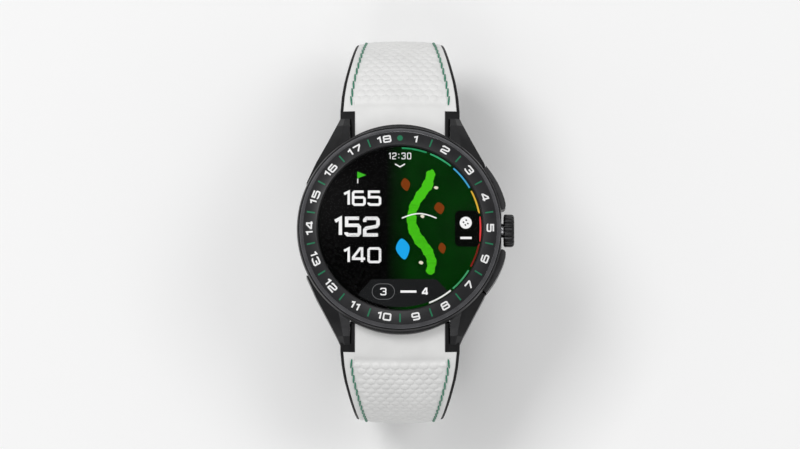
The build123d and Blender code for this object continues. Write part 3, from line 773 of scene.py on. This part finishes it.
def build_display():
    """Lit golf screen with invented numbers, a made-up hole, a ball icon and a coloured rim."""
    z = DISPLAY_Z
    level = flat_at(0, 0, z)
    icon_x, icon_y = 14.4, 1.2
    pill_x, foot_y = -3.65, -13.95      # the pill, and the line of small figures
    verts, faces = fan(disc(DISPLAY_R, 180), flat_at(0, 0, DISPLAY_BACK_Z), z - DISPLAY_BACK_Z)
    screen = piece("screen_panel", verts, faces, FIELD, "case", ("display_panel",), 40.0)
    marks = [words("165", 3.4, 8.2, 0.55, flat_at(-8.2, 6.6, z), 0.02, 0.35),
             words("152", 4.4, 9.9, 0.75, flat_at(-9.4, 0.35, z), 0.02, 0.42),
             words("140", 3.5, 8.2, 0.55, flat_at(-8.2, -5.95, z), 0.02, 0.35),
             words("12:30", 1.45, 4.9, 0.17, flat_at(0, 15.9, z), 0.02, 0.34),
             stroke([(-1.1, 14.15), (0, 13.5), (1.1, 14.15)], 0.26, level, 0.02),
             stroke([(-9.25, 10.9), (-9.25, 9.9)], 0.22, level),
             words("3", 1.65, 1.35, 0.26, flat_at(pill_x, foot_y, z), 0.04),
             stroke([(0.1, foot_y), (3.6, foot_y)], 0.5, level, 0.04),
             words("4", 1.75, 1.45, 0.36, flat_at(5.5, foot_y, z), 0.04),
             stroke([(13.2, -2.15), (15.7, -2.15)], 0.5, level, 0.04)]
    ring = []
    for cx, start in ((0.75, -90), (-0.75, 90)):
        for i in range(13):
            a = math.radians(start + 180 * i / 12)
            ring.append((cx + 1.7 * math.cos(a), 1.7 * math.sin(a)))
    pill = stroke(ring, 0.13, flat_at(pill_x, foot_y, z), 0.04, True)
    glowing("screen_pill", pill, "screen_pill_grey", (104, 105, 106), 0.05)
    arc = [(0.4 + 7.6 * t, 2.2 + 1.0 * math.sin(math.pi * t)) for t in np.linspace(0, 1, 25)]
    marks.append(stroke(arc, 0.26, level, 0.035))
    marks.append(fan(disc(1.32, 40), flat_at(icon_x, icon_y, z), 0.04))
    glowing("screen_text", merge(marks), "screen_white", (246, 246, 246), 0.02)
    spots = ((-0.5, 0.1), (0.1, 0.55), (0.45, -0.2), (-0.1, -0.5))
    dimples = [patch(icon_x + x, icon_y + y, 0.2, 0.2) for x, y in spots]
    shape = merge([fan(dimple, flat_at(0, 0, z + 0.03), 0.02) for dimple in dimples])
    glowing("screen_ball_dimples", shape, "screen_black", (4, 4, 4))
    fairway(z)
    panels(z)
    rim_segments(z)


def spline(a, b, c, d, steps):
    """Points from b up to, not including, c on a smooth curve through all four."""
    out = []
    for i in range(steps):
        t = i / steps
        out.append(0.5 * ((2 * b) + (c - a) * t + (2 * a - 5 * b + 4 * c - d) * t * t
                          + (3 * b - a - 3 * c + d) * t ** 3))
    return out


def blob(points, steps=6):
    """Smooth closed outline through control points."""
    ctrl = [Vector(p) for p in points]
    count = len(ctrl)
    out = []
    for i in range(count):
        out += spline(ctrl[i - 1], ctrl[i], ctrl[(i + 1) % count], ctrl[(i + 2) % count], steps)
    return [(p.x, p.y) for p in out]


def smooth_line(points, steps):
    """Open smooth line through points."""
    ctrl = [Vector(points[0])] + [Vector(p) for p in points] + [Vector(points[-1])]
    out = []
    for i in range(1, len(ctrl) - 2):
        out += spline(*ctrl[i - 1:i + 3], steps)
    out.append(ctrl[-1])
    return out


def patch(x, y, half_x, half_y):
    """Small uneven island on the map."""
    return blob([(x - half_x, y), (x - 0.2 * half_x, y + half_y), (x + half_x, y + 0.2 * half_y),
                 (x + 0.3 * half_x, y - half_y)])


def fairway(z):
    """An invented hole: fairway, lake, scrub and bunkers, each layer lifted above the last."""
    level = flat_at(0, 0, z)
    spine = [(6.9, 12.6), (6.8, 12.2), (6.0, 9.4), (4.2, 6.8), (2.8, 4.0), (2.6, 1.0), (3.8, -2.0),
             (5.8, -4.6), (6.9, -7.2), (6.6, -9.6), (6.5, -10.2)]
    widths = [0.5, 1.8, 2.2, 2.0, 1.9, 2.1, 2.3, 2.1, 2.0, 1.8, 0.5]
    line = smooth_line(spine, 8)
    spread = np.interp(np.linspace(0, 1, len(line)), np.linspace(0, 1, len(widths)), widths)
    rings = []
    for i, (p, w) in enumerate(zip(line, spread)):
        q = line[min(i + 1, len(line) - 1)] - line[max(i - 1, 0)]
        n = Vector((-q.y, q.x)).normalized()
        w = w * (1 + 0.1 * math.sin(i * 0.9) + 0.07 * math.sin(i * 2.3))
        a, b = p + n * w / 2, p - n * w / 2
        rings.append([(a.x, a.y, z + 0.02), (b.x, b.y, z + 0.02), (b.x, b.y, z), (a.x, a.y, z)])
    glowing("screen_fairway", tube_of_rings(rings), "screen_lime", (76, 205, 28), 0.25)
    islands = (
        ("screen_lake", "screen_blue", (30, 170, 240), 0.1, 0.022, ((0.6, -4.6, 1.5, 2.3),)),
        ("screen_scrub", "screen_brown", (128, 60, 18), 0.2, 0.024,
         ((1.2, 9.6, 1.0, 1.4), (8.6, 4.4, 1.1, 1.3), (9.2, -4.4, 0.8, 1.2))),
        ("screen_sand", "screen_cream", (232, 226, 205), 0.1, 0.028,
         ((7.9, 8.9, 0.5, 0.35), (4.9, 2.6, 0.45, 0.4), (4.6, -7.6, 0.5, 0.4))),
    )
    for name, look, colour, variation, thick, spots in islands:
        shape = merge([fan(patch(*spot), level, thick) for spot in spots])
        glowing(name, shape, look, colour, variation)
    flag = fan([(-9.2, 12.4), (-7.4, 11.7), (-9.2, 11.0)], level, 0.02)
    pole = stroke([(-9.25, 12.4), (-9.25, 10.9)], 0.2, level, 0.02)
    glowing("screen_flag", merge([flag, pole]), "screen_flag_green", (64, 190, 40))


def panels(z):
    """Dark plates under the small figures and under the ball icon."""
    level = flat_at(0, 0, z)
    top = [(-8.4, -13.6), (-6.2, -11.2), (8.0, -11.2), (10.2, -13.6)]
    angles = np.linspace(math.radians(-52), math.radians(-122), 26)
    low = [(PLATE_R * math.cos(a), PLATE_R * math.sin(a)) for a in angles]
    glowing("screen_plate", fan(top + low, level), "screen_grey", (30, 31, 32), 0.1)
    corner_r = 1.1
    box = []
    for cx, cy, start in ((16.3, 2.8, 0), (13.1, 2.8, 90), (13.1, -3.0, 180), (16.3, -3.0, 270)):
        for i in range(6):
            a = math.radians(start + 18 * i)
            box.append((cx + corner_r * math.cos(a), cy + corner_r * math.sin(a)))
    glowing("screen_club_plate", fan(box, level), "screen_dark", (3, 5, 3))


def rim_segments(z):
    """Coloured arcs round the display, between two angles clockwise from twelve."""
    arcs = [("green", 1.3, 19.3, (44, 150, 96)),
            ("mint", 22, 39, (62, 178, 120)),
            ("sky", 41.6, 59.8, (66, 160, 208)),
            ("amber", 62.3, 79.3, (226, 180, 62)),
            ("red", 81.7, 99.5, (226, 62, 66)),
            ("crimson", 101, 118.7, (132, 26, 30)),
            ("leaf", 121.7, 139, (70, 160, 108)),
            ("pale", 141, 158.8, (236, 236, 234))]
    for name, first, last, colour in arcs:
        line = []
        for clock in np.linspace(first, last, 20):
            a = math.radians(90 - clock)
            line.append((RIM_R * math.cos(a), RIM_R * math.sin(a)))
        arc = stroke(line, 0.36, flat_at(0, 0, z), 0.02)
        glowing("screen_rim_" + name, arc, "screen_" + name, colour, 0.08)


def build_crown():
    """Ribbed crown."""
    segments, ridges, groove, crest = 288, 18, 0.26, 0.45
    radius, x_in, x_out = 3.58, 22.66, 25.05
    # along the axis, radius there, and the share of the grooves' depth
    stations = [(x_in, 2.0, 0.0), (x_in, 3.1, 0.0), (x_in + 0.12, 3.42, 0.5),
                (x_in + 0.3, radius, 1.0), (x_out - 0.62, radius, 1.0),
                (x_out - 0.36, radius - 0.1, 1.0), (x_out - 0.15, radius - 0.32, 0.8),
                (x_out - 0.04, radius - 0.6, 0.3), (x_out, radius - 0.9, 0.0), (x_out, 1.2, 0.0)]
    rings = []
    for x, r, cut in stations:
        ring = []
        for i in range(segments):
            a = 2 * math.pi * i / segments
            wave = 0.5 + 0.5 * math.cos(a * ridges)
            dip = groove * cut * max(0.0, wave - crest) / (1 - crest)
            ring.append((x, (r - dip) * math.cos(a), CROWN_Z + (r - dip) * math.sin(a)))
        rings.append(ring)
    verts, faces = tube_of_rings(rings)
    crown = piece("crown_head", verts, faces, CASE_BLACK, "crown", ("crown_knob",), 40.0)


# Radius of the rounded edges, by CAD node
ROUNDED = {"middle_case": 0.18, "upper_pusher_cap": 0.35, "lower_pusher_cap": 0.35, "clasp_cover": 0.25,
           "clasp_button_left": 0.2, "clasp_button_right": 0.2, "clasp_middle_blade": 0.15,
           "clasp_inner_blade": 0.15, "case_back": 0.12}


def dress_frame():
    """Better surfaces for the CAD pieces that stay as they are."""
    looks = {
        CASE_BLACK: ["middle_case", "case_back", "upper_pusher_cap", "lower_pusher_cap", "clasp_cover",
                     "clasp_button_left", "clasp_button_right"],
        STEEL: ["case_back_screws", "spring_bar_12", "spring_bar_6", "release_lever_12",
                "release_lever_6", "clasp_middle_blade", "clasp_inner_blade", "clasp_outer_pin",
                "clasp_inner_pin", "clasp_bar_6", "clasp_bar_12", "crown_tube", "crown_stem",
                "pusher_bushes", "upper_pusher_clip", "lower_pusher_clip", "tact_switches",
                "processor_shield", "vibration_motor"],
        PLASTIC_BLACK: ["sensor_window", "sensor_lights", "display_bracket", "speaker", "board_chips",
                        "crown_press_cup"],
        SEAL_BLACK: ["crystal_gasket", "case_back_gasket"],
        GOLD: ["charging_contacts", "gps_antenna"],
        BOARD: ["main_board", "sensor_board"],
        FOIL: ["battery"],
    }
    for material, names in looks.items():
        for name in names:
            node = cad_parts[name]
            node.data.materials.clear()
            node.data.materials.append(material)
            if name in ROUNDED:
                bevel(node, ROUNDED[name])


# Studio ----------------------------------------------------------------------
def studio():
    """Pale floor, four overhead lamps, brightest at the upper left, and the camera over the dial."""
    g = Graph("floor_paper")
    shader = g.principled(Roughness=0.9, Specular_IOR_Level=0.1)
    grain = g.noise(g.coords(), 0.02, 3.0)
    g.link(g.mix(grain, (0.93, 0.93, 0.93), (0.92, 0.92, 0.92)), shader.inputs["Base Color"])
    corners = [(-FLOOR_HALF, -FLOOR_HALF, 0), (FLOOR_HALF, -FLOOR_HALF, 0),
               (FLOOR_HALF, FLOOR_HALF, 0), (-FLOOR_HALF, FLOOR_HALF, 0)]
    floor = piece("floor", corners, [(0, 1, 2, 3)], g.mat, None)
    world = bpy.data.worlds.new("studio")
    bpy.context.scene.world = world
    world.use_nodes = True
    background = world.node_tree.nodes["Background"]
    background.inputs["Color"].default_value = (1, 1, 1, 1)
    background.inputs["Strength"].default_value = WORLD_LIGHT
    lamps = [("key", (-480, 330, 1300), 6.4), ("front", (-100, -600, 1300), 2.8),
             ("right", (560, 150, 1300), 2.4), ("back", (60, 680, 1250), 1.8)]
    for name, place, watts in lamps:
        data = bpy.data.lights.new(name, "AREA")
        data.size = LAMP_SIZE * MM
        data.energy = watts
        lamp = bpy.data.objects.new(name, data)
        lamp.location = [c * MM for c in place]
        lamp.rotation_euler = (Vector(LAMP_AIM) * MM - lamp.location).to_track_quat("-Z", "Y").to_euler()
        bpy.context.scene.collection.objects.link(lamp)
    data = bpy.data.cameras.new("camera")
    camera = bpy.data.objects.new("camera", data)
    bpy.context.scene.collection.objects.link(camera)
    tilt = math.radians(CAMERA_ELEVATION)
    back = Vector((0, -math.cos(tilt), math.sin(tilt)))
    camera.location = Vector(CAMERA_AIM) * MM + back * CAMERA_DISTANCE * MM
    camera.rotation_euler = (-back).to_track_quat("-Z", "Y").to_euler()
    data.sensor_width = SENSOR_WIDTH
    data.lens = SENSOR_WIDTH * CAMERA_DISTANCE / VIEW_WIDTH
    bpy.context.scene.camera = camera
    bpy.context.scene.view_settings.view_transform = "Standard"


build_bezel()
build_crystal()
build_display()
build_crown()
build_strap()
dress_frame()
studio()
